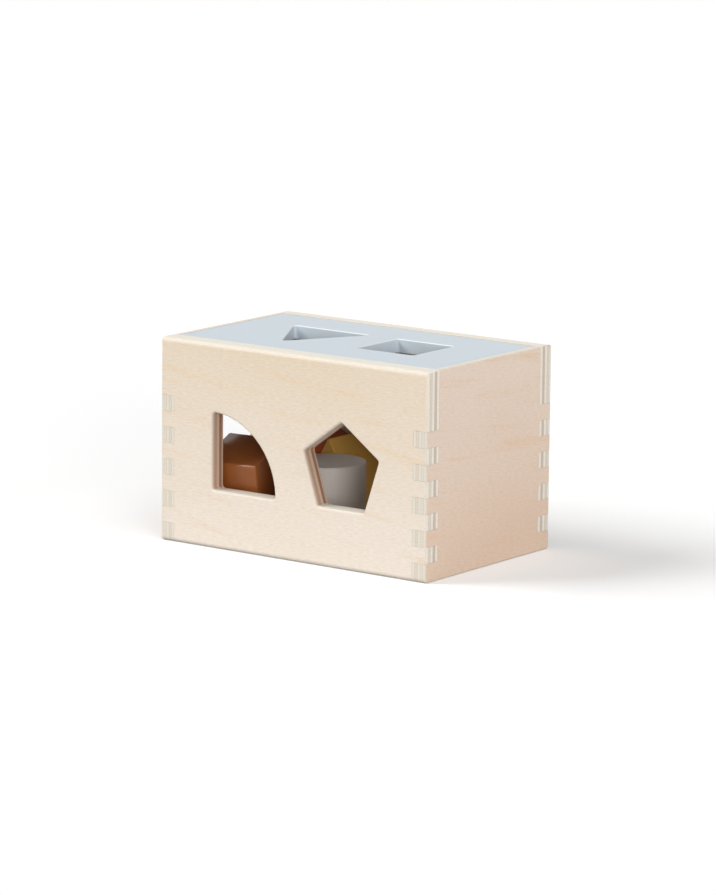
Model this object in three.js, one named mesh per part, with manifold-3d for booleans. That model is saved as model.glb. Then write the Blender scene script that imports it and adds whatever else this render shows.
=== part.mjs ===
// Shape sorter box: a finger-jointed plywood box with a painted lift-off lid and five loose blocks.
// Millimetres, +Z up, +X to the right along the front, +Y to the back.
// The origin is on the surface that the box stands on, below its centre.
import * as THREE from 'three';
import { mergeVertices } from 'three/addons/utils/BufferGeometryUtils.js';
import Module from 'manifold-3d';

const wasm = await Module();
wasm.setup();

// Box, with 12 mm front and back panels and 10 mm end panels
const BOX_LENGTH = 202;
const BOX_DEPTH = 130;
const BOX_HEIGHT = 128;
const SIDE_THICKNESS = 12;
const END_THICKNESS = 10;
const LONG_EDGE_RADIUS = 3;
const END_EDGE_RADIUS = 1;
const CORNER_RADIUS = 1;

// Finger joints, counted down from the top edge
const TOP_FINGER = 36;
const FINGER_WIDTH = 10;
const GLUE_GAP = 0.1;

// Floor board, held in a groove that runs round the inside
const FLOOR_THICKNESS = 9;
const FLOOR_RAISE = 3;
const GROOVE_DEPTH = 5;
const GROOVE_CLEARANCE = 0.3;

// Lid, let in flush between front and back panel and resting on a rebate in each end panel
const LID_THICKNESS = 9;
const LID_CLEARANCE = 0.5;
const LID_EDGE = 0.8;
const END_LIP = 4;

// Holes, placed from the middle of the board that they are in and from the ground
const HOLE_CORNER = 2;
const HOLE_EDGE = 1.5;
const LID_HOLE_EDGE = 0.8;
const HOLE_EDGE_STEPS = 3;
const QUARTER_RADIUS = 48.5;
const QUARTER_X = -61.2;
const QUARTER_Z = 36.6;
const PENTAGON_RADIUS = 29.6;
const PENTAGON_X = 37.1;
const PENTAGON_Z = 60.7;
const CIRCLE_DIAMETER = 51;
const CIRCLE_Z = 63;
const TRIANGLE_SIDE = 60;
const TRIANGLE_X = -34.6;
const TRIANGLE_BASE_Y = 21.8;
const SQUARE_SIDE = 43;
const SQUARE_X = 37.2;

// Blocks, each smaller than its hole by a clearance on every side
const FIT_CLEARANCE = 1;
const TRIANGLE_CLEARANCE = 0.5;
const PENTAGON_CLEARANCE = 1.5;
const BLOCK_LENGTH = 41.5;
const BLOCK_CORNER = 1.5;
const BLOCK_EDGE = 1.2;

// Where the loose blocks lie: gaps to the walls, to the floor and to each other
const REST_GAP = 0.2;
const BACK_GAP = 1.1;
const BLOCK_GAP = 0.6;
const PENTAGON_FRONT_GAP = 0.9;
const PENTAGON_END_GAP = 10;
const PENTAGON_TURN = new THREE.Euler(-0.204, -0.015, 0.029, 'ZYX');
const TRIANGLE_FROM_END = 62.4;
const CYLINDER_FROM_END = 80.1;
const CUBE_END_GAP = 2.5;

// Greatest distance between a curve and its facets
const CHORD_ERROR = 0.08;

// Planes that several pieces share
const halfLength = BOX_LENGTH / 2;
const halfDepth = BOX_DEPTH / 2;
const endWall = halfLength - END_THICKNESS;
const sideWall = halfDepth - SIDE_THICKNESS;
const floorTop = FLOOR_RAISE + FLOOR_THICKNESS;
const lidSeat = BOX_HEIGHT - LID_THICKNESS;
const restLevel = floorTop + REST_GAP;
const overrun = LONG_EDGE_RADIUS;

// Views that turn a drawing's two axes and its extrusion into the box's directions
const X = new THREE.Vector3(1, 0, 0);
const Y = new THREE.Vector3(0, 1, 0);
const Z = new THREE.Vector3(0, 0, 1);
const PLAN = new THREE.Matrix4().makeBasis(X, Y, Z);
const FRONT_VIEW = new THREE.Matrix4().makeBasis(X, Z, Y.clone().negate());
const END_VIEW = new THREE.Matrix4().makeBasis(Y, Z, X);

function solidFrom(geometry) {
  const bare = geometry.clone();
  bare.deleteAttribute('normal');
  bare.deleteAttribute('uv');
  const merged = mergeVertices(bare, 1e-5);
  const corners = merged.index.array;
  const triangles = [];
  for (let i = 0; i < corners.length; i += 3) {
    const [a, b, c] = corners.subarray(i, i + 3);
    if (a !== b && b !== c && c !== a) triangles.push(a, b, c);
  }
  const vertProperties = new Float32Array(merged.attributes.position.array);
  const triVerts = new Uint32Array(triangles);
  return new wasm.Manifold(new wasm.Mesh({ numProp: 3, vertProperties, triVerts }));
}

function geometryFrom(solid) {
  const mesh = solid.getMesh();
  const geometry = new THREE.BufferGeometry();
  geometry.setAttribute('position', new THREE.BufferAttribute(mesh.vertProperties, 3));
  geometry.setIndex(new THREE.BufferAttribute(mesh.triVerts, 1));
  geometry.computeVertexNormals();
  return geometry;
}

// Closed outline of arcs joined by straight lines: centre x and y, radius, start and end angle of each.
function outline(arcs) {
  const points = arcs.flatMap(([x, y, radius, start, end]) => {
    const step = 2 * Math.acos(1 - Math.min(1, CHORD_ERROR / radius));
    const steps = Math.max(2, Math.ceil((end - start) / step));
    return new THREE.EllipseCurve(x, y, radius, radius, start, end).getPoints(steps);
  });
  const next = (i) => points[(i + 1) % points.length];
  return new THREE.Shape(points.filter((point, i) => point.distanceTo(next(i)) > 1e-6));
}

function roundedRectangle(left, bottom, right, top, radius) {
  const quarter = Math.PI / 2;
  return outline([
    [left + radius, bottom + radius, radius, 2 * quarter, 3 * quarter],
    [right - radius, bottom + radius, radius, -quarter, 0],
    [right - radius, top - radius, radius, 0, quarter],
    [left + radius, top - radius, radius, quarter, 2 * quarter],
  ]);
}

// Regular polygon round the origin, by the radius of its sharp corners, with one corner towards turn.
function polygon(sides, radius, cornerRadius, turn) {
  const half = Math.PI / sides;
  const reach = radius - cornerRadius / Math.cos(half);
  const arcs = [];
  for (let i = 0; i < sides; i += 1) {
    const angle = turn + 2 * half * i;
    arcs.push([reach * Math.cos(angle), reach * Math.sin(angle), cornerRadius, angle - half, angle + half]);
  }
  return outline(arcs);
}

// Quarter of a disc with its right angle at the origin, reaching along +x and +y.
function quarterRound(radius, cornerRadius) {
  const quarter = Math.PI / 2;
  const far = Math.sqrt((radius - cornerRadius) ** 2 - cornerRadius ** 2);
  const slip = Math.atan2(cornerRadius, far);
  return outline([
    [cornerRadius, cornerRadius, cornerRadius, 2 * quarter, 3 * quarter],
    [far, cornerRadius, cornerRadius, -quarter, slip],
    [0, 0, radius, slip, quarter - slip],
    [cornerRadius, far, cornerRadius, quarter - slip, 2 * quarter],
  ]);
}

function disc(radius) {
  return outline([[0, 0, radius, 0, 2 * Math.PI]]);
}

function extruded(shape, from, to, view) {
  const geometry = new THREE.ExtrudeGeometry(shape, { depth: to - from, bevelEnabled: false });
  geometry.translate(0, 0, from);
  return solidFrom(geometry.applyMatrix4(view));
}

function boxBetween(low, high) {
  const size = high.clone().sub(low);
  const middle = low.clone().add(high).multiplyScalar(0.5);
  return solidFrom(new THREE.BoxGeometry(size.x, size.y, size.z).translate(middle.x, middle.y, middle.z));
}

// Extrusion from z = 0 to the length, with its end edges rounded off within the outline.
function easedExtrusion(shape, length, edge) {
  const geometry = new THREE.ExtrudeGeometry(shape, {
    depth: length - 2 * edge,
    bevelThickness: edge,
    bevelSize: edge,
    bevelOffset: -edge,
    bevelSegments: 2,
  });
  return solidFrom(geometry.translate(0, 0, edge));
}

// Cutter for a hole through a board that lies from z = 0 to its thickness in the drawing. It runs straight
// through and widens along a quarter circle towards both faces, which rounds the edges of the hole. Each
// step of that circle is a flare that reaches past its own ends, where the other flares are wider.
function holeCutter(shape, thickness, edge, view, place) {
  const turn = Math.PI / 2 / HOLE_EDGE_STEPS;
  let cutter = extruded(shape, -overrun, thickness + overrun, view);
  for (let i = 0; i < HOLE_EDGE_STEPS; i += 1) {
    const rise = edge * (Math.sin((i + 1) * turn) - Math.sin(i * turn));
    const spread = edge * (Math.cos(i * turn) - Math.cos((i + 1) * turn));
    const flare = new THREE.ExtrudeGeometry(shape, {
      depth: overrun,
      bevelThickness: 3 * rise,
      bevelSize: 3 * spread,
      bevelOffset: edge * (1 - Math.cos(i * turn)) - spread,
      bevelSegments: 1,
    });
    const level = thickness - edge + edge * Math.sin(i * turn) + 2 * rise;
    const upper = flare.clone().translate(0, 0, level).applyMatrix4(view);
    const lower = flare.clone().translate(0, 0, thickness - level - overrun).applyMatrix4(view);
    cutter = cutter.add(solidFrom(upper)).add(solidFrom(lower));
  }
  return cutter.translate(place.toArray());
}

// The glued box with its outer edges rounded, without joints or inside.
function outerForm() {
  const ends = roundedRectangle(-halfDepth, 0, halfDepth, BOX_HEIGHT, LONG_EDGE_RADIUS);
  const front = roundedRectangle(-halfLength, 0, halfLength, BOX_HEIGHT, END_EDGE_RADIUS);
  const plan = roundedRectangle(-halfLength, -halfDepth, halfLength, halfDepth, CORNER_RADIUS);
  return extruded(ends, -halfLength - overrun, halfLength + overrun, END_VIEW)
    .intersect(extruded(front, -halfDepth - overrun, halfDepth + overrun, FRONT_VIEW))
    .intersect(extruded(plan, -overrun, BOX_HEIGHT + overrun, PLAN));
}

// Heights where the fingers change over, from the top down. The top finger belongs to the front and
// back panels and the bottom one to the end panels, so the fingers between them come in pairs.
function fingerLevels() {
  const pairs = Math.floor((BOX_HEIGHT - TOP_FINGER - FINGER_WIDTH) / (2 * FINGER_WIDTH));
  return Array.from({ length: 2 * pairs + 1 }, (_, i) => BOX_HEIGHT - TOP_FINGER - i * FINGER_WIDTH);
}

// Panel outline with fingers on both upright edges, reaching past the box where the panel's own
// fingers are and drawn back to the shoulder between them. Each own finger is thinner by the gap.
function fingeredOutline(reach, shoulder, ownsTop, gap) {
  const edge = [];
  let own = ownsTop;
  let height = BOX_HEIGHT + overrun;
  const mark = () => edge.push(new THREE.Vector2(own ? reach : shoulder, height));
  mark();
  for (const level of fingerLevels()) {
    height = own ? level + gap : level - gap;
    mark();
    own = !own;
    mark();
  }
  height = -overrun;
  mark();
  const mirrored = edge.map(({ x, y }) => new THREE.Vector2(-x, y));
  return new THREE.Shape([...mirrored, ...edge.reverse()]);
}

const envelope = outerForm();
const floorGroove = boxBetween(
  new THREE.Vector3(-endWall - GROOVE_DEPTH, -sideWall - GROOVE_DEPTH, FLOOR_RAISE),
  new THREE.Vector3(endWall + GROOVE_DEPTH, sideWall + GROOVE_DEPTH, floorTop + GROOVE_CLEARANCE),
);
const lidRebate = boxBetween(
  new THREE.Vector3(endWall - overrun, -halfDepth, lidSeat),
  new THREE.Vector3(halfLength - END_LIP, halfDepth, BOX_HEIGHT + overrun),
);

// Front panel, or the back panel once it is turned round
function sidePanel(cutters) {
  const shape = fingeredOutline(halfLength + overrun, endWall - GLUE_GAP, true, 0);
  const blank = extruded(shape, sideWall, halfDepth + overrun, FRONT_VIEW).intersect(envelope);
  return cutters.reduce((panel, cutter) => panel.subtract(cutter), blank.subtract(floorGroove));
}

// Right end panel, or the left one once it is turned round
function endPanel(cutters) {
  const shape = fingeredOutline(halfDepth + overrun, sideWall - GLUE_GAP, false, GLUE_GAP);
  const blank = extruded(shape, endWall, halfLength + overrun, END_VIEW).intersect(envelope);
  const panel = blank.subtract(floorGroove).subtract(lidRebate);
  return cutters.reduce((cut, cutter) => cut.subtract(cutter), panel);
}

function floorBoard() {
  const reachX = endWall + GROOVE_DEPTH - GROOVE_CLEARANCE;
  const reachY = sideWall + GROOVE_DEPTH - GROOVE_CLEARANCE;
  return boxBetween(
    new THREE.Vector3(-reachX, -reachY, FLOOR_RAISE),
    new THREE.Vector3(reachX, reachY, floorTop),
  );
}

// Radii of the sharp corners of the lid's holes, and of the block that passes a polygon hole
const triangleRadius = TRIANGLE_SIDE / Math.sqrt(3);
const squareRadius = SQUARE_SIDE / Math.SQRT2;
const blockRadius = (sides, holeRadius, clearance) => holeRadius - clearance / Math.cos(Math.PI / sides);

// Directions of the corner that each polygon points with
const UP = Math.PI / 2;
const DOWN = -UP;
const DIAGONAL = Math.PI / 4;

function frontHoles() {
  const quarterPlace = new THREE.Vector3(QUARTER_X, -sideWall, QUARTER_Z);
  const pentagonPlace = new THREE.Vector3(PENTAGON_X, -sideWall, PENTAGON_Z);
  const quarter = quarterRound(QUARTER_RADIUS, HOLE_CORNER);
  const pentagon = polygon(5, PENTAGON_RADIUS, HOLE_CORNER, UP);
  return [
    holeCutter(quarter, SIDE_THICKNESS, HOLE_EDGE, FRONT_VIEW, quarterPlace),
    holeCutter(pentagon, SIDE_THICKNESS, HOLE_EDGE, FRONT_VIEW, pentagonPlace),
  ];
}

function endHole() {
  const place = new THREE.Vector3(endWall, 0, CIRCLE_Z);
  return holeCutter(disc(CIRCLE_DIAMETER / 2), END_THICKNESS, HOLE_EDGE, END_VIEW, place);
}

// Lid with its underside at z = 0
function lidBoard() {
  const reachX = halfLength - END_LIP - LID_CLEARANCE;
  const reachY = sideWall - LID_CLEARANCE;
  const triangle = polygon(3, triangleRadius, HOLE_CORNER, DOWN);
  const square = polygon(4, squareRadius, HOLE_CORNER, DIAGONAL);
  const trianglePlace = new THREE.Vector3(TRIANGLE_X, TRIANGLE_BASE_Y - triangleRadius / 2, 0);
  const squarePlace = new THREE.Vector3(SQUARE_X, 0, 0);
  const plan = roundedRectangle(-reachX, -reachY, reachX, reachY, 2 * LID_EDGE);
  return easedExtrusion(plan, LID_THICKNESS, LID_EDGE)
    .subtract(holeCutter(triangle, LID_THICKNESS, LID_HOLE_EDGE, PLAN, trianglePlace))
    .subtract(holeCutter(square, LID_THICKNESS, LID_HOLE_EDGE, PLAN, squarePlace));
}

// A block lies along z from minus to plus half its length.
function block(shape, length) {
  return geometryFrom(easedExtrusion(shape, length, BLOCK_EDGE)).translate(0, 0, -length / 2);
}

function addPiece(group, name, geometry, colour, roughness) {
  const material = new THREE.MeshStandardMaterial({ color: colour, roughness, metalness: 0 });
  const mesh = new THREE.Mesh(geometry, material);
  mesh.name = name;
  group.add(mesh);
  return mesh;
}

const sorter = new THREE.Group();

// Box
const box = new THREE.Group();
sorter.add(box);
const BEECH = '#e6d2bb';
addPiece(box, 'front_panel', geometryFrom(sidePanel(frontHoles())), BEECH, 0.55);
addPiece(box, 'back_panel', geometryFrom(sidePanel([])), BEECH, 0.55).rotation.z = Math.PI;
addPiece(box, 'right_end_panel', geometryFrom(endPanel([])), BEECH, 0.55);
addPiece(box, 'left_end_panel', geometryFrom(endPanel([endHole()])), BEECH, 0.55).rotation.z = Math.PI;
addPiece(box, 'floor_panel', geometryFrom(floorBoard()), BEECH, 0.6);

// Lid
const lid = addPiece(sorter, 'lid', geometryFrom(lidBoard()), '#ccd6dd', 0.5);
lid.position.z = lidSeat;

// Blocks
const blocks = new THREE.Group();
sorter.add(blocks);

// Pentagonal prism, lying along the front panel and tipped back
const pentagonShape = polygon(5, blockRadius(5, PENTAGON_RADIUS, PENTAGON_CLEARANCE), BLOCK_CORNER, UP);
const pentagonForm = block(pentagonShape, BLOCK_LENGTH).applyMatrix4(END_VIEW);
const pentagon = addPiece(blocks, 'pentagon_block', pentagonForm, '#96562f', 0.3);
pentagon.rotation.copy(PENTAGON_TURN);
const pentagonReach = new THREE.Box3().setFromObject(pentagon, true).min;
pentagon.position.set(
  -endWall + PENTAGON_END_GAP - pentagonReach.x,
  -sideWall + PENTAGON_FRONT_GAP - pentagonReach.y,
  restLevel - pentagonReach.z,
);

// Triangular prism, lying on one side with its end towards the back panel
const triangleBlockRadius = blockRadius(3, triangleRadius, TRIANGLE_CLEARANCE);
const triangleShape = polygon(3, triangleBlockRadius, BLOCK_CORNER, UP);
const prismMiddle = sideWall - BACK_GAP - BLOCK_LENGTH / 2;
const triangle = addPiece(blocks, 'triangle_block', block(triangleShape, BLOCK_LENGTH), '#a97f3e', 0.35);
triangle.rotation.x = Math.PI / 2;
triangle.position.set(-endWall + TRIANGLE_FROM_END, prismMiddle, restLevel + triangleBlockRadius / 2);

// Cylinder, standing in front of the triangular prism
const cylinderRadius = CIRCLE_DIAMETER / 2 - FIT_CLEARANCE;
const cylinder = addPiece(blocks, 'round_block', block(disc(cylinderRadius), BLOCK_LENGTH), '#b9b3ad', 0.35);
cylinder.position.set(
  -endWall + CYLINDER_FROM_END,
  prismMiddle - BLOCK_LENGTH / 2 - BLOCK_GAP - cylinderRadius,
  restLevel + BLOCK_LENGTH / 2,
);

// Quarter round, leaning with one flat side on the left side of the triangular prism
const lean = Math.PI / 6;
const quarterShape = quarterRound(QUARTER_RADIUS - 2 * FIT_CLEARANCE, BLOCK_CORNER);
const quarter = addPiece(blocks, 'quarter_block', block(quarterShape, BLOCK_LENGTH), '#8d4a2c', 0.35);
quarter.rotation.set(Math.PI / 2, 0, Math.PI - lean);
const quarterLevel = restLevel - new THREE.Box3().setFromObject(quarter, true).min.z;
const fromTriangle = triangleBlockRadius / 2 + BLOCK_GAP;
const aboveTriangle = quarterLevel - triangle.position.z;
quarter.position.set(
  triangle.position.x - (fromTriangle - aboveTriangle * Math.sin(lean)) / Math.cos(lean),
  prismMiddle,
  quarterLevel,
);

// Cube, standing in the back right corner
const cubeSide = SQUARE_SIDE - 2 * FIT_CLEARANCE;
const cubeShape = polygon(4, blockRadius(4, squareRadius, FIT_CLEARANCE), BLOCK_CORNER, DIAGONAL);
const cube = addPiece(blocks, 'square_block', block(cubeShape, cubeSide), '#7f969c', 0.35);
cube.position.set(
  endWall - CUBE_END_GAP - cubeSide / 2,
  sideWall - CUBE_END_GAP - cubeSide / 2,
  restLevel + cubeSide / 2,
);

export default sorter;
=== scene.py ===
"""Shape sorter box of pale plywood, with a painted lift-off lid and five lacquered blocks.

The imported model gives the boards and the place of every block. The script rounds the shading of the
boards, draws the blocks as clean prisms, gives each piece its finish and sets up a white studio with
the photographed view.
"""

import logging
import math
from dataclasses import dataclass, field
from enum import Enum
from typing import Any

import bmesh
import bpy
from mathutils import Euler, Matrix, Vector


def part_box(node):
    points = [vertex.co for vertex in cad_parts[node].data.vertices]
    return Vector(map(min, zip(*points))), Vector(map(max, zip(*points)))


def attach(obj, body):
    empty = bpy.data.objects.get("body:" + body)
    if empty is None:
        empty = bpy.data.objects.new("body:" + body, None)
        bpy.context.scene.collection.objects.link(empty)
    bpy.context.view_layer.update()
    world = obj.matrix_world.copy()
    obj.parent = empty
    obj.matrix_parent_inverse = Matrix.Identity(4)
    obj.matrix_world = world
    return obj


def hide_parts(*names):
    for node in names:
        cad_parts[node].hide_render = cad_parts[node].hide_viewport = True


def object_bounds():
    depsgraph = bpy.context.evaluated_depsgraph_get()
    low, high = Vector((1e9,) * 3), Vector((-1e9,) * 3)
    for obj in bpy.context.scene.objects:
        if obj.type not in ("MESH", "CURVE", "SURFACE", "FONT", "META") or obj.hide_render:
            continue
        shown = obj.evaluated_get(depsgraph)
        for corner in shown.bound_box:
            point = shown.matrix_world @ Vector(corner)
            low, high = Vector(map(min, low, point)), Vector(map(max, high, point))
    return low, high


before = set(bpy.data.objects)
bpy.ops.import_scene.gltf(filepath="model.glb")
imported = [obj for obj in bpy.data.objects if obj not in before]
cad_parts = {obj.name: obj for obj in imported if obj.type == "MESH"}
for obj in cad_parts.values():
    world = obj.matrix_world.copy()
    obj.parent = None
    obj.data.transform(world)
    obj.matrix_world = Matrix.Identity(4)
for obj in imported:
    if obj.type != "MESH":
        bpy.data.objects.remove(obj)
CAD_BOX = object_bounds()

LOG = logging.getLogger("shape_sorter")
MM = 0.001
ROUTED = "routed"
LACQUER_IOR = 1.5
WHITE = (1, 1, 1, 1)

# Settings that many nodes share: a step with soft ends, and a mix of colours
SMOOTH = {"interpolation_type": "SMOOTHSTEP"}
COLOUR = {"data_type": "RGBA"}

Span = tuple[float, float]


def linear(code: str) -> tuple[float, float, float, float]:
    """Turns an sRGB hex colour into linear RGBA.

    Args:
        code: six hex digits with a leading hash.

    Returns:
        Linear red, green and blue, and an alpha of 1.
    """
    parts = [int(code[i : i + 2], 16) / 255 for i in (1, 3, 5)]
    curve = [c / 12.92 if c <= 0.04045 else ((c + 0.055) / 1.055) ** 2.4 for c in parts]
    return (*curve, 1.0)


def add_node(
    tree: bpy.types.NodeTree,
    kind: str,
    inputs: dict | tuple = (),
    **settings: Any,
) -> bpy.types.Node:
    """Adds a node to a tree, with its settings and with its inputs set or linked.

    Args:
        tree: the shader or geometry tree.
        kind: Blender's name of the node type.
        inputs: a value or an output socket for each input, by name or number, or in order from the first.
        settings: the node's properties.

    Returns:
        The new node.
    """
    node = tree.nodes.new(kind)
    for name, value in settings.items():
        setattr(node, name, value)
    pairs = inputs.items() if isinstance(inputs, dict) else enumerate(inputs)
    for key, value in pairs:
        if isinstance(value, bpy.types.NodeSocket):
            tree.links.new(value, node.inputs[key])
        else:
            node.inputs[key].default_value = value
    return node


def new_material(name: str) -> tuple[bpy.types.Material, bpy.types.NodeTree, bpy.types.Node]:
    """Makes an empty node material.

    Args:
        name: the finish's name.

    Returns:
        The material, its tree and its output node.
    """
    material = bpy.data.materials.new(name)
    material.use_nodes = True
    tree = material.node_tree
    tree.nodes.clear()
    return material, tree, add_node(tree, "ShaderNodeOutputMaterial")


class Facing(Enum):
    """Where a board's outer face looks: depth axis, its sign going in, grain axis and cross axis."""

    FRONT = (1, 1, 0, 2)
    BACK = (1, -1, 0, 2)
    LEFT = (0, 1, 1, 2)
    RIGHT = (0, -1, 1, 2)
    BELOW = (2, 1, 0, 1)


@dataclass(frozen=True)
class PlywoodFinish:
    """Birch plywood, sanded and lacquered clear.

    The rotary-cut face is pale, with faint orange flames, short fibres and a rare pin knot. A sawn edge
    shows its plies in low contrast. In the holes the side walls are painted darker and warmer than the
    ledges, as painted shade. Rounded edges carry a greyer band, partly sanded wear and partly painted
    shading of the rounding.

    A step is a pair of limits between which one look gives way to another, on the scale of what drives
    it: a share of the surface normal, of a noise or of a ply's thickness.
    """

    name: str
    facing: Facing
    outer_mm: float
    thickness_mm: float
    seed: float
    face: str = "#f1e5d7"
    flame: str = "#ecd3b2"
    blush: str = "#ead9c2"
    # A greyer band on eased edges: partly sanded wear, partly painted shading of the rounding
    sanded: str = "#ded6c9"
    long_grain: str = "#efe9dc"
    end_grain: str = "#cab8a9"
    glue: str = "#b5927a"
    # Painted shade: the holes' side walls, darker and warmer than the ledges
    shaded_wall: str = "#d0b9a5"
    shaded_wall_end: str = "#9c684b"
    plies: int = 5
    # End grain on edges facing along the cross axis, kept weak as painted light from above
    lit_up_share: float = 0.4
    blush_mm: Span = (170.0, 55.0)
    blush_shift: float = 7.0
    # Height span of the blush; on the front and back it leaves the feet lighter, as painted light from the
    # floor
    warm_mm: Span = (25.0, 125.0)
    warm_step: Span = (0.4, 1.6)
    flame_mm: Span = (80.0, 7.0)
    flame_step: Span = (0.52, 0.8)
    flame_share: float = 0.75
    flame_bend: float = 0.6
    slant: float = 0.12
    knot_mm: float = 42.0
    knot_step: Span = (0.008, 0.016)
    knot_share: float = 0.6
    edge_step: Span = (0.5, 0.9)
    wear_light_start: Span = (0.2, 0.55)
    wear_light_end: Span = (0.9, 0.99)
    wear_light_share: float = 0.5
    end_step: Span = (0.3, 0.9)
    side_step: Span = (0.25, 0.75)
    ply_shares: Span = (0.35, 1.0)
    glue_step: Span = (0.03, 0.10)
    glue_share: float = 0.4
    fibre_mm: Span = (4.0, 0.8)
    fibre_step: Span = (0.3, 0.7)
    fibre_tones: Span = (0.93, 1.05)
    roughness: Span = (0.44, 0.58)
    specular: float = 0.3
    relief: float = 0.12
    relief_mm: float = 0.1

    def build(self) -> bpy.types.Material:
        """Builds the material from the board's own directions.

        Returns:
            The plywood material.
        """
        material, tree, output = new_material(self.name)
        depth_axis, sign, grain_axis, cross_axis = self.facing.value
        coordinate = add_node(tree, "ShaderNodeTexCoord").outputs
        place = add_node(tree, "ShaderNodeSeparateXYZ", (coordinate["Object"],)).outputs
        inward = (place[depth_axis], sign / MM, self.outer_mm)
        depth = add_node(tree, "ShaderNodeMath", inward, operation="MULTIPLY_ADD").outputs[0]
        along = add_node(tree, "ShaderNodeMath", (place[grain_axis], 1 / MM), operation="MULTIPLY")
        across = add_node(tree, "ShaderNodeMath", (place[cross_axis], 1 / MM), operation="MULTIPLY")
        axes = (along.outputs[0], across.outputs[0], depth)
        board = add_node(tree, "ShaderNodeCombineXYZ", axes).outputs[0]
        face = self._veneer(tree, board)
        towards = add_node(tree, "ShaderNodeVectorMath", (coordinate["Normal"],), operation="ABSOLUTE")
        normal = add_node(tree, "ShaderNodeSeparateXYZ", (towards.outputs[0],)).outputs
        cut = self._plies(tree, depth, normal[grain_axis], normal[cross_axis])
        flat = normal[depth_axis]

        # The veneer gives way to the plies where a surface turns from the face into an edge
        edge = add_node(tree, "ShaderNodeMapRange", (flat, *self.edge_step, 1.0, 0.0), **SMOOTH)
        whole = {0: edge.outputs[0], 6: face, 7: cut}
        colour = add_node(tree, "ShaderNodeMix", whole, **COLOUR)

        # Along that turn a greyer band is painted, partly sanded wear and partly painted shading of the
        # rounding
        rise = (flat, *self.wear_light_start, 0.0, self.wear_light_share)
        turning = add_node(tree, "ShaderNodeMapRange", rise, **SMOOTH)
        flattening = add_node(tree, "ShaderNodeMapRange", (flat, *self.wear_light_end, 1.0, 0.0), **SMOOTH)
        eased_band = (turning.outputs[0], flattening.outputs[0])
        wear_light = add_node(tree, "ShaderNodeMath", eased_band, operation="MULTIPLY")
        pale = {0: wear_light.outputs[0], 6: colour.outputs[2], 7: linear(self.sanded)}
        worn_and_lit = add_node(tree, "ShaderNodeMix", pale, **COLOUR)

        # Fibres darken and lift the surface a little, and the lacquer lies unevenly over them
        length, width = self.fibre_mm
        strand = {"Vector": board, "Scale": (length, width, width), "Location": (self.seed, 0, 0)}
        strands = add_node(tree, "ShaderNodeMapping", strand, vector_type="TEXTURE")
        thread = {"Vector": strands.outputs[0], "Scale": 1.0, "Detail": 3.0}
        fibre = add_node(tree, "ShaderNodeTexNoise", thread).outputs[0]
        tone = add_node(tree, "ShaderNodeMapRange", (fibre, *self.fibre_step, *self.fibre_tones))
        toned = {0: 1.0, 6: worn_and_lit.outputs[2], 7: tone.outputs[0]}
        wood = add_node(tree, "ShaderNodeMix", toned, **COLOUR, blend_type="MULTIPLY")
        gloss = add_node(tree, "ShaderNodeMapRange", (fibre, *self.fibre_step, *self.roughness))
        lift = {"Strength": self.relief, "Distance": self.relief_mm * MM, "Height": fibre}
        bump = add_node(tree, "ShaderNodeBump", lift)
        skin = {
            "Base Color": wood.outputs[2],
            "Roughness": gloss.outputs[0],
            "IOR": LACQUER_IOR,
            "Specular IOR Level": self.specular,
            "Normal": bump.outputs[0],
        }
        shader = add_node(tree, "ShaderNodeBsdfPrincipled", skin)
        tree.links.new(shader.outputs[0], output.inputs[0])
        return material

    def _veneer(self, tree: bpy.types.NodeTree, board: bpy.types.NodeSocket) -> bpy.types.NodeSocket:
        """Colours the face veneer: a broad blush, flames slightly across the grain, and pin knots.

        Args:
            tree: the material's tree.
            board: place on the board in mm, as along the grain, across it and inwards.

        Returns:
            The veneer's colour.
        """
        length, width = self.blush_mm
        shift = (0, self.blush_shift * self.seed, 0)
        broad = {"Vector": board, "Scale": (length, width, width), "Location": shift}
        clouds = add_node(tree, "ShaderNodeMapping", broad, vector_type="TEXTURE")
        mist = {"Vector": clouds.outputs[0], "Scale": 1.0, "Detail": 2.0}
        cloud = add_node(tree, "ShaderNodeTexNoise", mist)
        # The blush also follows height: on the front and back it grows upwards, so their feet are painted
        # lighter as light from the white floor, and on the ends it grows towards the floor
        across = add_node(tree, "ShaderNodeSeparateXYZ", (board,)).outputs[1]
        side = add_node(tree, "ShaderNodeMapRange", (across, *self.warm_mm), clamp=False)
        sway = add_node(tree, "ShaderNodeMath", (cloud.outputs[0], side.outputs[0]), operation="ADD")
        warm = add_node(tree, "ShaderNodeMapRange", (sway.outputs[0], *self.warm_step, 0.0, 1.0))
        ground = {0: warm.outputs[0], 6: linear(self.face), 7: linear(self.blush)}
        base = add_node(tree, "ShaderNodeMix", ground, **COLOUR)

        # Flames run in long wisps, a little aslant
        length, width = self.flame_mm
        streak = {
            "Vector": board,
            "Scale": (length, width, width),
            "Rotation": (0, 0, -self.slant),
            "Location": (0, self.seed, 0),
        }
        streaks = add_node(tree, "ShaderNodeMapping", streak, vector_type="TEXTURE")
        wisp = {"Vector": streaks.outputs[0], "Scale": 1.0, "Detail": 3.0, "Distortion": self.flame_bend}
        flame = add_node(tree, "ShaderNodeTexNoise", wisp)
        show = (flame.outputs[0], *self.flame_step, 0.0, self.flame_share)
        lick = add_node(tree, "ShaderNodeMapRange", show, **SMOOTH)
        licked = {0: lick.outputs[0], 6: base.outputs[2], 7: linear(self.flame)}
        figured = add_node(tree, "ShaderNodeMix", licked, **COLOUR)

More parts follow.
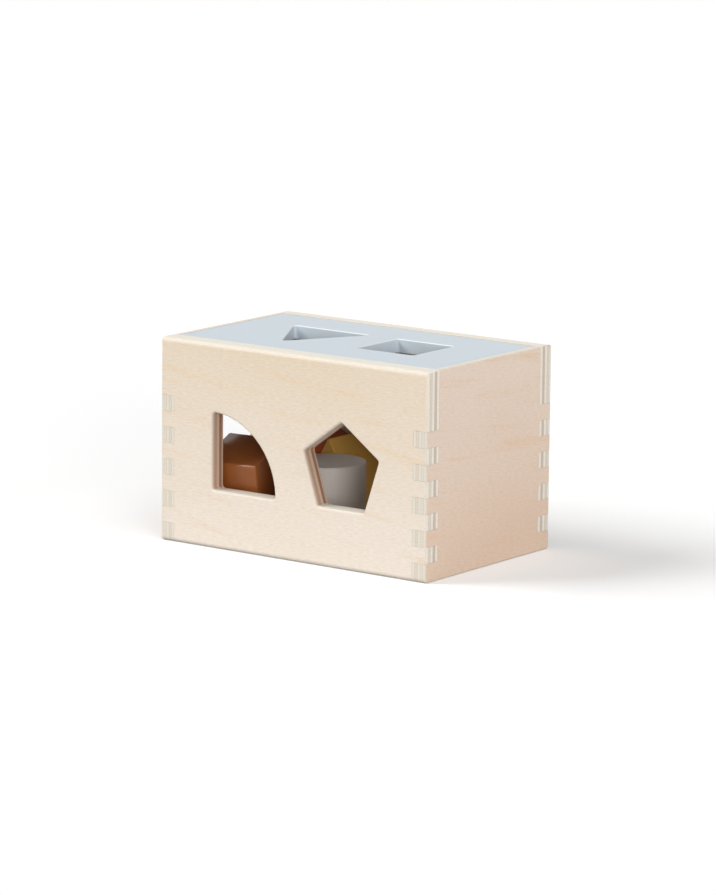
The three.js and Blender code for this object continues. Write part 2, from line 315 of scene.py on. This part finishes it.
        # A pin knot shows where the face cuts through the middle of a cell
        spread = {"Vector": board, "Scale": (self.knot_mm,) * 3, "Location": (self.seed, self.seed, 0)}
        cells = add_node(tree, "ShaderNodeMapping", spread, vector_type="TEXTURE")
        spots = add_node(tree, "ShaderNodeTexVoronoi", {"Vector": cells.outputs[0], "Scale": 1.0})
        near = (spots.outputs["Distance"], *self.knot_step, self.knot_share, 0.0)
        knot = add_node(tree, "ShaderNodeMapRange", near)
        speckled = {0: knot.outputs[0], 6: figured.outputs[2], 7: linear(self.glue)}
        return add_node(tree, "ShaderNodeMix", speckled, **COLOUR).outputs[2]

    def _plies(
        self,
        tree: bpy.types.NodeTree,
        depth: bpy.types.NodeSocket,
        grain: bpy.types.NodeSocket,
        cross: bpy.types.NodeSocket,
    ) -> bpy.types.NodeSocket:
        """Colours a cut edge by its plies, whose grain turns by a right angle from one to the next.

        Args:
            tree: the material's tree.
            depth: depth below the outer face in mm.
            grain: how far the surface faces along the face's grain.
            cross: how far it faces across the face's grain.

        Returns:
            The edge's colour.
        """
        count = (depth, self.plies / self.thickness_mm)
        layers = add_node(tree, "ShaderNodeMath", count, operation="MULTIPLY").outputs[0]
        layer = add_node(tree, "ShaderNodeMath", (layers,), operation="FLOOR").outputs[0]
        odd = add_node(tree, "ShaderNodeMath", (layer, 2.0), operation="MODULO")
        # Plies facing along the cross axis, as ledges and top edges do, show weaker end grain: painted
        # light, as for edges lit from above
        upward = add_node(tree, "ShaderNodeMath", (cross, self.lit_up_share), operation="MULTIPLY")
        faced = add_node(tree, "ShaderNodeMix", {0: odd.outputs[0], 2: upward.outputs[0], 3: grain})
        turn = (faced.outputs[0], *self.end_step, 0.0, 1.0)
        end = add_node(tree, "ShaderNodeMapRange", turn, **SMOOTH)
        chance = add_node(tree, "ShaderNodeTexWhiteNoise", {"W": layer}, noise_dimensions="1D")
        vary = (chance.outputs[0], 0.0, 1.0, *self.ply_shares)
        depths = add_node(tree, "ShaderNodeMapRange", vary)
        darkness = (end.outputs[0], depths.outputs[0])
        dark = add_node(tree, "ShaderNodeMath", darkness, operation="MULTIPLY").outputs[0]
        sawn = {0: dark, 6: linear(self.long_grain), 7: linear(self.end_grain)}
        plain = add_node(tree, "ShaderNodeMix", sawn, **COLOUR)

        # In the holes the side walls are painted darker and warmer than the ledges, as painted shade, and
        # the ledges stay cream
        wall_shade = {0: dark, 6: linear(self.shaded_wall), 7: linear(self.shaded_wall_end)}
        wall = add_node(tree, "ShaderNodeMix", wall_shade, **COLOUR)
        side = add_node(tree, "ShaderNodeMapRange", (grain, *self.side_step, 0.0, 1.0), **SMOOTH)
        sides = {0: side.outputs[0], 6: linear(self.long_grain), 7: wall.outputs[2]}
        routed = add_node(tree, "ShaderNodeMix", sides, **COLOUR)
        hole = add_node(tree, "ShaderNodeAttribute", attribute_name=ROUTED)
        which = {0: hole.outputs["Fac"], 6: plain.outputs[2], 7: routed.outputs[2]}
        wood = add_node(tree, "ShaderNodeMix", which, **COLOUR)

        # A thin glue line parts each ply from the next
        middle = add_node(tree, "ShaderNodeMath", (layers, 0.5), operation="PINGPONG")
        line = (middle.outputs[0], *self.glue_step, self.glue_share, 0.0)
        glued = add_node(tree, "ShaderNodeMapRange", line, **SMOOTH)
        seam = {0: glued.outputs[0], 6: wood.outputs[2], 7: linear(self.glue)}
        return add_node(tree, "ShaderNodeMix", seam, **COLOUR).outputs[2]


@dataclass(frozen=True)
class EndPlywood(PlywoodFinish):
    """The rosier sheet that the two ends are cut from, warmest near the floor."""

    face: str = "#e9d5c4"
    flame: str = "#e5c4a5"
    blush: str = "#e3c6ae"
    long_grain: str = "#e9e2d4"
    end_grain: str = "#e0d6c6"
    warm_mm: Span = (90.0, -10.0)


@dataclass(frozen=True)
class LidPaint:
    """Satin water-based paint on board: pale blue-grey, faintly stippled, thin over the cut edges."""

    name: str = "lid_satin_paint"
    colour: str = "#cbd5dc"
    thin: str = "#ced9e1"
    # Painted highlight on eased edges
    rim_highlight: str = "#eef2f4"
    edge_step: Span = (0.3, 0.9)
    cloud_mm: float = 40.0
    cloud_step: Span = (0.3, 0.7)
    cloud_share: float = 0.25
    rim_highlight_step: Span = (0.02, 0.25)
    rim_highlight_share: float = 0.9
    stipple_mm: float = 0.9
    stroke_mm: Span = (60.0, 0.8)
    stroke_height: float = 3.0
    relief: float = 0.15
    relief_mm: float = 0.08
    roughness: float = 0.42
    specular: float = 0.15

    def build(self) -> bpy.types.Material:
        """Builds the paint.

        Returns:
            The paint material.
        """
        material, tree, output = new_material(self.name)
        coordinate = add_node(tree, "ShaderNodeTexCoord").outputs
        point = coordinate["Object"]
        normal = add_node(tree, "ShaderNodeSeparateXYZ", (coordinate["Normal"],)).outputs
        flat = add_node(tree, "ShaderNodeMath", (normal[2],), operation="ABSOLUTE").outputs[0]
        edge = add_node(tree, "ShaderNodeMapRange", (flat, *self.edge_step, 1.0, 0.0)).outputs[0]
        mist = {"Vector": point, "Scale": 1 / (self.cloud_mm * MM), "Detail": 2.0}
        cloud = add_node(tree, "ShaderNodeTexNoise", mist)
        drift = (cloud.outputs["Fac"], *self.cloud_step, 0.0, self.cloud_share)
        soft = add_node(tree, "ShaderNodeMapRange", drift)
        amount = add_node(tree, "ShaderNodeMath", (soft.outputs[0], edge), operation="MAXIMUM")
        colours = {0: amount.outputs[0], 6: linear(self.colour), 7: linear(self.thin)}
        coat = add_node(tree, "ShaderNodeMix", colours, **COLOUR)

        # A near-white painted highlight is laid where an edge is eased
        slope = add_node(tree, "ShaderNodeMath", (flat, 0.5), operation="PINGPONG")
        eased_band = (slope.outputs[0], *self.rim_highlight_step, 0.0, self.rim_highlight_share)
        highlight_amount = add_node(tree, "ShaderNodeMapRange", eased_band)
        rim_highlights = {0: highlight_amount.outputs[0], 6: coat.outputs[2], 7: linear(self.rim_highlight)}
        colour = add_node(tree, "ShaderNodeMix", rim_highlights, **COLOUR)

        # The flat is stippled, and strokes run along the cut edges
        stipple = {"Vector": point, "Scale": 1 / (self.stipple_mm * MM), "Detail": 1.0}
        stippled = add_node(tree, "ShaderNodeTexNoise", stipple)
        length, width = self.stroke_mm
        layers = (1 / (length * MM), 1 / (length * MM), 1 / (width * MM))
        strokes = add_node(tree, "ShaderNodeVectorMath", (point, layers), operation="MULTIPLY")
        bristles = {"Vector": strokes.outputs[0], "Scale": 1.0, "Detail": 2.0}
        ridges = add_node(tree, "ShaderNodeTexNoise", bristles)
        ridge = add_node(tree, "ShaderNodeMath", (ridges.outputs["Fac"], edge), operation="MULTIPLY")
        height = (ridge.outputs[0], self.stroke_height, stippled.outputs["Fac"])
        raised = add_node(tree, "ShaderNodeMath", height, operation="MULTIPLY_ADD")
        lift = {"Strength": self.relief, "Distance": self.relief_mm * MM, "Height": raised.outputs[0]}
        bump = add_node(tree, "ShaderNodeBump", lift)
        skin = {
            "Base Color": colour.outputs[2],
            "Roughness": self.roughness,
            "IOR": LACQUER_IOR,
            "Specular IOR Level": self.specular,
            "Normal": bump.outputs[0],
        }
        shader = add_node(tree, "ShaderNodeBsdfPrincipled", skin)
        tree.links.new(shader.outputs[0], output.inputs[0])
        return material


@dataclass(frozen=True)
class BlockLacquer:
    """Opaque lacquer over sanded hardwood: even colour, soft gloss and a trace of the grain beneath."""

    name: str
    colour: str
    shade: str
    roughness: float = 0.34
    specular: float = 0.15
    grain_mm: Span = (14.0, 1.1)
    grain_step: Span = (0.35, 0.75)
    grain_share: float = 0.3
    relief: float = 0.05
    relief_mm: float = 0.06

    def build(self) -> bpy.types.Material:
        """Builds the lacquer.

        Returns:
            The lacquer material.
        """
        material, tree, output = new_material(self.name)
        coordinate = add_node(tree, "ShaderNodeTexCoord").outputs
        length, width = self.grain_mm
        scale = (1 / (width * MM), 1 / (width * MM), 1 / (length * MM))
        along = add_node(tree, "ShaderNodeVectorMath", (coordinate["Object"], scale), operation="MULTIPLY")
        strand = {"Vector": along.outputs[0], "Scale": 1.0, "Detail": 3.0}
        grain = add_node(tree, "ShaderNodeTexNoise", strand).outputs["Fac"]
        trace = (grain, *self.grain_step, 0.0, self.grain_share)
        amount = add_node(tree, "ShaderNodeMapRange", trace)
        colours = {0: amount.outputs[0], 6: linear(self.colour), 7: linear(self.shade)}
        colour = add_node(tree, "ShaderNodeMix", colours, **COLOUR)
        lift = {"Strength": self.relief, "Distance": self.relief_mm * MM, "Height": grain}
        bump = add_node(tree, "ShaderNodeBump", lift)
        skin = {
            "Base Color": colour.outputs[2],
            "Roughness": self.roughness,
            "IOR": LACQUER_IOR,
            "Specular IOR Level": self.specular,
            "Normal": bump.outputs[0],
        }
        shader = add_node(tree, "ShaderNodeBsdfPrincipled", skin)
        tree.links.new(shader.outputs[0], output.inputs[0])
        return material


@dataclass(frozen=True)
class BoardMesh:
    """Copies a CAD board and rounds its shading: eased edges look turned and flat faces stay flat."""

    weld_mm: float = 0.002
    flat_degrees: float = 0.5
    sharp_degrees: float = 50.0
    joint_mm: float = 14.0

    def copy(self, node: str, name: str) -> bpy.types.Object:
        """Makes the board's own object.

        Args:
            node: the CAD node.
            name: the piece's name.

        Returns:
            The linked object, at the origin.
        """
        work = bmesh.new()
        work.from_mesh(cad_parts[node].data)
        bmesh.ops.remove_doubles(work, verts=work.verts, dist=self.weld_mm * MM)
        work.faces.ensure_lookup_table()
        work.normal_update()
        normals = self._corner_normals(work)
        for face in work.faces:
            face.smooth = True
        mesh = bpy.data.meshes.new(name)
        work.to_mesh(mesh)
        work.free()
        mesh.normals_split_custom_set(normals)
        self._mark_holes(mesh)
        piece = bpy.data.objects.new(name, mesh)
        bpy.context.scene.collection.objects.link(piece)
        return piece

    def _mark_holes(self, mesh: bpy.types.Mesh) -> None:
        """Marks the faces away from the board's outline, which on its edges are those of its holes.

        Args:
            mesh: the board's mesh.
        """
        corners = [vertex.co for vertex in mesh.vertices]
        low = [min(corner[i] for corner in corners) for i in range(3)]
        high = [max(corner[i] for corner in corners) for i in range(3)]
        thin = min(range(3), key=lambda i: high[i] - low[i])
        flat = [i for i in range(3) if i != thin]
        marks = mesh.attributes.new(ROUTED, "FLOAT", "FACE")
        for face in mesh.polygons:
            inset = min(min(face.center[i] - low[i], high[i] - face.center[i]) for i in flat)
            marks.data[face.index].value = float(inset > self.joint_mm * MM)

    def _regions(self, work: bmesh.types.BMesh) -> tuple[list[int], list[float]]:
        """Finds the flat regions of a mesh.

        Args:
            work: the welded mesh.

        Returns:
            Each face's region, and each region's area.
        """
        limit = math.radians(self.flat_degrees)
        region = [-1] * len(work.faces)
        areas: list[float] = []
        for start in work.faces:
            if region[start.index] >= 0:
                continue
            region[start.index] = len(areas)
            patch = [start]
            for face in patch:
                for other in (near for edge in face.edges for near in edge.link_faces):
                    if region[other.index] < 0 and start.normal.angle(other.normal, 0.0) < limit:
                        region[other.index] = region[start.index]
                        patch.append(other)
            areas.append(sum(face.calc_area() for face in patch))
        return region, areas

    def _corner_normals(self, work: bmesh.types.BMesh) -> list[Vector]:
        """Works out a normal for each face corner from the regions that meet there without a sharp edge.

        Args:
            work: the welded mesh.

        Returns:
            One normal for each corner, in the order of the faces' loops.
        """
        region, areas = self._regions(work)
        normals = []
        for face in work.faces:
            for corner in face.loops:
                fan = self._fan(face, corner.vert)
                weights = {region[other.index]: other.normal for other in fan}
                total = sum((areas[index] * one for index, one in weights.items()), Vector())
                normals.append(total.normalized())
        return normals

    def _fan(self, face: bmesh.types.BMFace, vertex: bmesh.types.BMVert) -> list[bmesh.types.BMFace]:
        """Gathers the faces round a corner that no sharp edge parts from the corner's own face.

        Args:
            face: the corner's own face.
            vertex: the corner's vertex.

        Returns:
            The faces, with the corner's own first.
        """
        limit = math.radians(self.sharp_degrees)
        fan = [face]
        for current in fan:
            for edge in current.edges:
                if vertex not in edge.verts:
                    continue
                for other in edge.link_faces:
                    if other not in fan and current.normal.angle(other.normal, 0.0) < limit:
                        fan.append(other)
        return fan


@dataclass
class BoxShell:
    """The glued box: front, back and end panels with finger joints, and the floor board in its grooves."""

    boards: BoardMesh = field(default_factory=BoardMesh)
    side_mm: float = 12.0
    end_mm: float = 10.0
    floor_mm: float = 9.0

    def build(self) -> list[bpy.types.Object]:
        """Builds and dresses the five boards.

        Returns:
            The boards' objects.
        """
        low, high = CAD_BOX
        floor_low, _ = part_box("floor_panel")
        front, back = -low.y / MM, high.y / MM
        left, right = -low.x / MM, high.x / MM
        below = -floor_low.z / MM
        finishes = {
            "front_panel": PlywoodFinish("plywood_front", Facing.FRONT, front, self.side_mm, seed=3.1),
            "back_panel": PlywoodFinish("plywood_back", Facing.BACK, back, self.side_mm, seed=7.7),
            "left_end_panel": EndPlywood("plywood_left", Facing.LEFT, left, self.end_mm, seed=12.3),
            "right_end_panel": EndPlywood("plywood_right", Facing.RIGHT, right, self.end_mm, seed=18.9),
            "floor_panel": PlywoodFinish("plywood_floor", Facing.BELOW, below, self.floor_mm, seed=25.2),
        }
        made = []
        for node, finish in finishes.items():
            board = self.boards.copy(node, f"{node}_board")
            board.data.materials.append(finish.build())
            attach(board, "box")
            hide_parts(node)
            made.append(board)
        return made


@dataclass
class Lid:
    """The painted lid with its triangle and square holes."""

    boards: BoardMesh = field(default_factory=BoardMesh)
    paint: LidPaint = field(default_factory=LidPaint)

    def build(self) -> list[bpy.types.Object]:
        """Builds and dresses the lid.

        Returns:
            The lid's object in a list.
        """
        board = self.boards.copy("lid", "lid_board")
        board.data.materials.append(self.paint.build())
        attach(board, "lid")
        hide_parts("lid")
        return [board]


@dataclass(frozen=True)
class PrismRule:
    """Geometry Nodes rule for a block: an outline with rounded corners, drawn out to a length."""

    name: str = "block_prism"
    corner_steps: int = 6
    arc_steps: int = 32
    weld_mm: float = 0.001

    def build(self) -> bpy.types.NodeTree:
        """Builds the tree with its named inputs.

        Returns:
            The geometry tree.
        """
        tree = bpy.data.node_groups.new(self.name, "GeometryNodeTree")
        for label, kind in (
            ("Sides", "NodeSocketInt"),
            ("Radius", "NodeSocketFloat"),
            ("Corner Radius", "NodeSocketFloat"),
            ("Length", "NodeSocketFloat"),
            ("Quarter", "NodeSocketBool"),
            ("Turn", "NodeSocketRotation"),
            ("Finish", "NodeSocketMaterial"),
        ):
            tree.interface.new_socket(label, in_out="INPUT", socket_type=kind)
        tree.interface.new_socket("Block", in_out="OUTPUT", socket_type="NodeSocketGeometry")
        given = add_node(tree, "NodeGroupInput").outputs
        outline = self._outline(tree, given)
        filled = add_node(tree, "GeometryNodeFillCurve", {"Curve": outline}, mode="NGONS").outputs[0]
        upward = add_node(tree, "ShaderNodeCombineXYZ", {"Z": given["Length"]})
        drawn = {"Mesh": filled, "Offset": upward.outputs[0], "Individual": False}
        walls = add_node(tree, "GeometryNodeExtrudeMesh", drawn, mode="FACES")
        under = add_node(tree, "GeometryNodeFlipFaces", {"Mesh": filled})
        both = add_node(tree, "GeometryNodeJoinGeometry")
        tree.links.new(walls.outputs[0], both.inputs[0])
        tree.links.new(under.outputs[0], both.inputs[0])
        welded = {"Geometry": both.outputs[0], "Distance": self.weld_mm * MM}
        closed = add_node(tree, "GeometryNodeMergeByDistance", welded)
        turned = {"Geometry": closed.outputs[0], "Rotation": given["Turn"]}
        laid = add_node(tree, "GeometryNodeTransform", turned)
        real = add_node(tree, "GeometryNodeRealizeInstances", {"Geometry": laid.outputs[0]})
        dressed = {"Geometry": real.outputs[0], "Material": given["Finish"]}
        coloured = add_node(tree, "GeometryNodeSetMaterial", dressed)
        add_node(tree, "NodeGroupOutput", {"Block": coloured.outputs[0]})
        return tree

    def _outline(
        self,
        tree: bpy.types.NodeTree,
        given: bpy.types.bpy_prop_collection,
    ) -> bpy.types.NodeSocket:
        """Draws a polygon or a quarter circle and rounds its corners.

        Args:
            tree: the rule's tree.
            given: the rule's inputs.

        Returns:
            The outline's curve.
        """
        ring = {"Resolution": given["Sides"], "Radius": given["Radius"]}
        polygon = add_node(tree, "GeometryNodeCurvePrimitiveCircle", ring, mode="RADIUS")
        sector = {
            "Resolution": self.arc_steps,
            "Radius": given["Radius"],
            "Sweep Angle": math.pi / 2,
            "Connect Center": True,
        }
        quarter = add_node(tree, "GeometryNodeCurveArc", sector, mode="RADIUS")
        shapes = (given["Quarter"], polygon.outputs[0], quarter.outputs[0])
        outline = add_node(tree, "GeometryNodeSwitch", shapes, input_type="GEOMETRY")

        # Points along the quarter's arc stay as they are, and only true corners are rounded
        index = add_node(tree, "GeometryNodeInputIndex").outputs[0]
        past = add_node(tree, "ShaderNodeMath", (index, 0.5), operation="GREATER_THAN")
        ahead = add_node(tree, "ShaderNodeMath", (index, self.arc_steps - 1.5), operation="LESS_THAN")
        inner = (past.outputs[0], ahead.outputs[0])
        between = add_node(tree, "ShaderNodeMath", inner, operation="MULTIPLY")
        curved = (between.outputs[0], given["Quarter"])
        on_arc = add_node(tree, "ShaderNodeMath", curved, operation="MULTIPLY")
        corner = add_node(tree, "ShaderNodeMath", (1.0, on_arc.outputs[0]), operation="SUBTRACT").outputs[0]
        size = add_node(tree, "ShaderNodeMath", (corner, given["Corner Radius"]), operation="MULTIPLY")
        counts = (corner, self.corner_steps - 1, 1.0)
        count = add_node(tree, "ShaderNodeMath", counts, operation="MULTIPLY_ADD")
        corners = {
            "Curve": outline.outputs[0],
            "Count": count.outputs[0],
            "Radius": size.outputs[0],
            "Limit Radius": True,
        }
        return add_node(tree, "GeometryNodeFilletCurve", corners, mode="POLY").outputs[0]


class Lie(Enum):
    """How a block lies: tipped back along the front, upright, or with its length along the depth."""

    TIPPED = "tipped"
    UPRIGHT = "upright"
    ACROSS = "across"


@dataclass(frozen=True)
class Block:
    """One loose block, by its outline and its finish."""

    node: str
    slot: str
    lacquer: BlockLacquer
    lie: Lie
    radius_mm: float
    sides: int = 4
    length_mm: float = 41.5
    spin: float = 0.0
    quarter: bool = False
    corner_mm: float = 1.5


@dataclass
class BlockSet:
    """The five blocks inside the box, each smaller than its hole by a clearance on every side."""

    rule: PrismRule = field(default_factory=PrismRule)
    square_hole_mm: float = 43.0
    round_hole_mm: float = 51.0
    triangle_hole_mm: float = 60.0
    quarter_hole_mm: float = 48.5
    pentagon_hole_mm: float = 29.6
    fit_mm: float = 1.0
    triangle_fit_mm: float = 0.5
    pentagon_fit_mm: float = 1.5
    pentagon_corner_mm: float = 2.5
    round_steps: int = 128
    edge_mm: float = 1.2
    edge_steps: int = 4
    edge_degrees: float = 40.0
    sharp_degrees: float = 30.0
    tip_radians: tuple[float, float, float] = (-0.204, -0.015, 0.029)

    def build(self) -> list[bpy.types.Object]:
        """Builds and dresses every block.

        Returns:
            The blocks' objects.
        """
        tree = self.rule.build()
        items = tree.interface.items_tree
        sockets = {item.name: item.identifier for item in items if item.in_out == "INPUT"}
        return [self._make(block, tree, sockets) for block in self._blocks()]

    def _blocks(self) -> tuple[Block, ...]:
        """Lists the blocks, with their outlines worked out from the holes.

        Returns:
            The five blocks.
        """
        cube_mm = self.square_hole_mm - 2 * self.fit_mm
        triangle_trim = self.triangle_fit_mm / math.cos(math.pi / 3)
        pentagon_trim = self.pentagon_fit_mm / math.cos(math.pi / 5)
        return (
            Block(
                "square_block",
                "blue_grey_lacquer",
                BlockLacquer("blue_grey_lacquer", "#7f969c", "#748b91"),
                Lie.UPRIGHT,
                radius_mm=cube_mm / math.sqrt(2),
                length_mm=cube_mm,
                spin=math.pi / 4,
            ),
            Block(
                "round_block",
                "grey_lacquer",
                BlockLacquer("light_grey_lacquer", "#d6cfc9", "#cdc5be"),
                Lie.UPRIGHT,
                radius_mm=self.round_hole_mm / 2 - self.fit_mm,
                sides=self.round_steps,
                corner_mm=0.0,
            ),
            Block(
                "triangle_block",
                "mustard_lacquer",
                BlockLacquer("mustard_lacquer", "#e4b25a", "#d8a44d"),
                Lie.ACROSS,
                radius_mm=self.triangle_hole_mm / math.sqrt(3) - triangle_trim,
                sides=3,
                spin=math.pi / 2,
            ),
            Block(
                "quarter_block",
                "rust_lacquer",
                BlockLacquer("rust_lacquer", "#b0562d", "#a04a24"),
                Lie.ACROSS,
                radius_mm=self.quarter_hole_mm - 2 * self.fit_mm,
                spin=5 * math.pi / 6,
                quarter=True,
            ),
            Block(
                "pentagon_block",
                "brown_lacquer",
                BlockLacquer("caramel_lacquer", "#9c5a2c", "#8f5026", roughness=0.14, specular=0.5),
                Lie.TIPPED,
                radius_mm=self.pentagon_hole_mm - pentagon_trim,
                sides=5,
                spin=math.pi / 2,
                corner_mm=self.pentagon_corner_mm,
            ),
        )

    def _turn(self, block: Block) -> Matrix:
        """Works out a block's rotation: its outline is spun first and then laid down.

        Args:
            block: the block.

        Returns:
            The rotation.
        """
        spin = Matrix.Rotation(block.spin, 3, "Z")
        if block.lie is Lie.TIPPED:
            along_front = Matrix(((0, 0, 1), (1, 0, 0), (0, 1, 0)))
            return Euler(self.tip_radians).to_matrix() @ along_front @ spin
        if block.lie is Lie.ACROSS:
            return Matrix.Rotation(math.pi / 2, 3, "X") @ spin
        return spin

    def _make(
        self,
        block: Block,
        tree: bpy.types.NodeTree,
        sockets: dict[str, str],
    ) -> bpy.types.Object:
        """Makes one block where its CAD solid is.

        Args:
            block: the block.
            tree: the prism rule.
            sockets: identifier of each named input of the rule.

        Returns:
            The block's object, at the origin.
        """
        name = f"{block.node}_lacquered"
        low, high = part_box(block.node)
        draft = bpy.data.objects.new(name, bpy.data.meshes.new(name))
        bpy.context.scene.collection.objects.link(draft)
        modifier = draft.modifiers.new("prism", "NODES")
        modifier.node_group = tree
        values = {
            "Sides": block.sides,
            "Radius": block.radius_mm * MM,
            "Corner Radius": block.corner_mm * MM,
            "Length": block.length_mm * MM,
            "Quarter": block.quarter,
            "Turn": self._turn(block).to_euler(),
            "Finish": block.lacquer.build(),
        }
        for label, value in values.items():
            modifier[sockets[label]] = value
        eased = draft.modifiers.new("eased_edges", "BEVEL")
        eased.width = self.edge_mm * MM
        eased.segments = self.edge_steps
        eased.limit_method = "ANGLE"
        eased.angle_limit = math.radians(self.edge_degrees)
        depsgraph = bpy.context.evaluated_depsgraph_get()
        mesh = bpy.data.meshes.new_from_object(draft.evaluated_get(depsgraph), depsgraph=depsgraph)
        draft.modifiers.clear()
        draft.data = mesh

        # The finished prism is centred on the solid that it replaces
        corners = [vertex.co for vertex in mesh.vertices]
        middle = [(max(c[i] for c in corners) + min(c[i] for c in corners)) / 2 for i in range(3)]
        mesh.transform(Matrix.Translation((low + high) / 2 - Vector(middle)))
        mesh.shade_smooth()
        mesh.set_sharp_from_angle(angle=math.radians(self.sharp_degrees))
        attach(draft, block.node)
        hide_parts(block.node)
        return draft


@dataclass(frozen=True)
class Lamp:
    """A large soft lamp, far away: its strength, where it shines from, how wide it is and if it glints."""

    name: str
    strength: float
    source: tuple[float, float, float]
    degrees: float
    glints: bool = True

    def hang(self) -> None:
        """Hangs the lamp."""
        data = bpy.data.lights.new(self.name, "SUN")
        data.energy = self.strength
        data.angle = math.radians(self.degrees)
        light = bpy.data.objects.new(self.name, data)
        light.rotation_mode = "QUATERNION"
        light.rotation_quaternion = Vector(self.source).to_track_quat("Z", "Y")
        light.visible_glossy = self.glints
        bpy.context.scene.collection.objects.link(light)


@dataclass
class Studio:
    """White floor and surroundings, soft lamps from the left, front, right and above, and the view."""

    image: tuple[int, int] = (716, 895)
    focal_px: float = 4727.0
    sensor_mm: float = 36.0
    camera_mm: tuple[float, float, float] = (1702.24, -2302.32, 613.86)
    azimuth: float = 36.443
    elevation: float = 10.930
    roll: float = 0.531
    floor_m: float = 40.0
    floor_colour: str = "#f6f6f6"
    floor_lift: float = 0.15
    floor_bounce: str = "#cccccc"
    ambient: float = 0.20
    lamps: tuple[Lamp, ...] = (
        Lamp("key", 1.6, (-0.66, -0.36, 0.68), 32.0),
        Lamp("left_fill", 0.45, (-0.58, -0.62, 0.52), 18.0),
        Lamp("front_fill", 1.2, (0.75, -0.64, 0.18), 24.0, glints=False),
        Lamp("right_fill", 0.65, (0.96, -0.15, 0.22), 50.0, glints=False),
        Lamp("overhead", 0.75, (0.40, -0.14, 0.90), 40.0, glints=False),
    )

    def build(self) -> None:
        """Builds the camera, the floor, the surroundings and the lamps."""
        bpy.context.scene.view_settings.view_transform = "Standard"
        self._camera()
        self._floor()
        self._surroundings()
        for lamp in self.lamps:
            lamp.hang()

    def _camera(self) -> None:
        """Places the camera by the photograph's fitted view."""
        turn, rise, roll = (math.radians(a) for a in (self.azimuth, self.elevation, self.roll))
        level = math.cos(rise)
        back = Vector((math.sin(turn) * level, -math.cos(turn) * level, math.sin(rise)))
        right = Vector((math.cos(turn), math.sin(turn), 0))
        up = back.cross(right)
        axes = (
            right * math.cos(roll) + up * math.sin(roll),
            up * math.cos(roll) - right * math.sin(roll),
            back,
        )
        data = bpy.data.cameras.new("camera")
        data.sensor_width = self.sensor_mm
        data.lens = self.focal_px / max(self.image) * self.sensor_mm
        camera = bpy.data.objects.new("camera", data)
        place = Matrix.Translation(Vector(self.camera_mm) * MM)
        camera.matrix_world = place @ Matrix(axes).transposed().to_4x4()
        bpy.context.scene.collection.objects.link(camera)
        bpy.context.scene.camera = camera

    def _floor(self) -> None:
        """Lays a large matt white floor."""
        mesh = bpy.data.meshes.new("floor")
        half = self.floor_m / 2
        corners = [(-half, -half, 0), (half, -half, 0), (half, half, 0), (-half, half, 0)]
        mesh.from_pydata(corners, [], [(0, 1, 2, 3)])
        floor = bpy.data.objects.new("floor", mesh)
        bpy.context.scene.collection.objects.link(floor)
        material, tree, output = new_material("matt_white_floor")
        path = add_node(tree, "ShaderNodeLightPath").outputs
        bounce = add_node(tree, "ShaderNodeBsdfDiffuse", {"Color": linear(self.floor_bounce)})
        shown = add_node(tree, "ShaderNodeBsdfDiffuse", {"Color": linear(self.floor_colour)})
        lift = add_node(tree, "ShaderNodeEmission", {"Color": WHITE, "Strength": self.floor_lift})
        white = add_node(tree, "ShaderNodeAddShader", (shown.outputs[0], lift.outputs[0]))
        parts = (path["Is Camera Ray"], bounce.outputs[0], white.outputs[0])
        shader = add_node(tree, "ShaderNodeMixShader", parts)
        tree.links.new(shader.outputs[0], output.inputs[0])
        mesh.materials.append(material)

    def _surroundings(self) -> None:
        """Gives an even soft light from all round, shown as white to the camera and to mirrored rays."""
        world = bpy.data.worlds.new("white_room")
        world.use_nodes = True
        tree = world.node_tree
        tree.nodes.clear()
        path = add_node(tree, "ShaderNodeLightPath").outputs
        mirrored = (path["Is Glossy Ray"], path["Is Transmission Ray"])
        sharp = add_node(tree, "ShaderNodeMath", mirrored, operation="MAXIMUM")
        seen = (path["Is Camera Ray"], sharp.outputs[0])
        direct = add_node(tree, "ShaderNodeMath", seen, operation="MAXIMUM")
        strength = (direct.outputs[0], 0.0, 1.0, self.ambient, 1.0)
        level = add_node(tree, "ShaderNodeMapRange", strength)
        light = add_node(tree, "ShaderNodeBackground", {"Strength": level.outputs[0], "Color": WHITE})
        add_node(tree, "ShaderNodeOutputWorld", {"Surface": light.outputs[0]})
        bpy.context.scene.world = world


def main() -> None:
    """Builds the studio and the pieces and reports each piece."""
    logging.basicConfig(level=logging.INFO, format="%(name)s: %(message)s")
    Studio().build()
    for assembly in (BoxShell(), Lid(), BlockSet()):
        for piece in assembly.build():
            LOG.info("%s: %d faces", piece.name, len(piece.data.polygons))


if __name__ == "__main__":
    main()
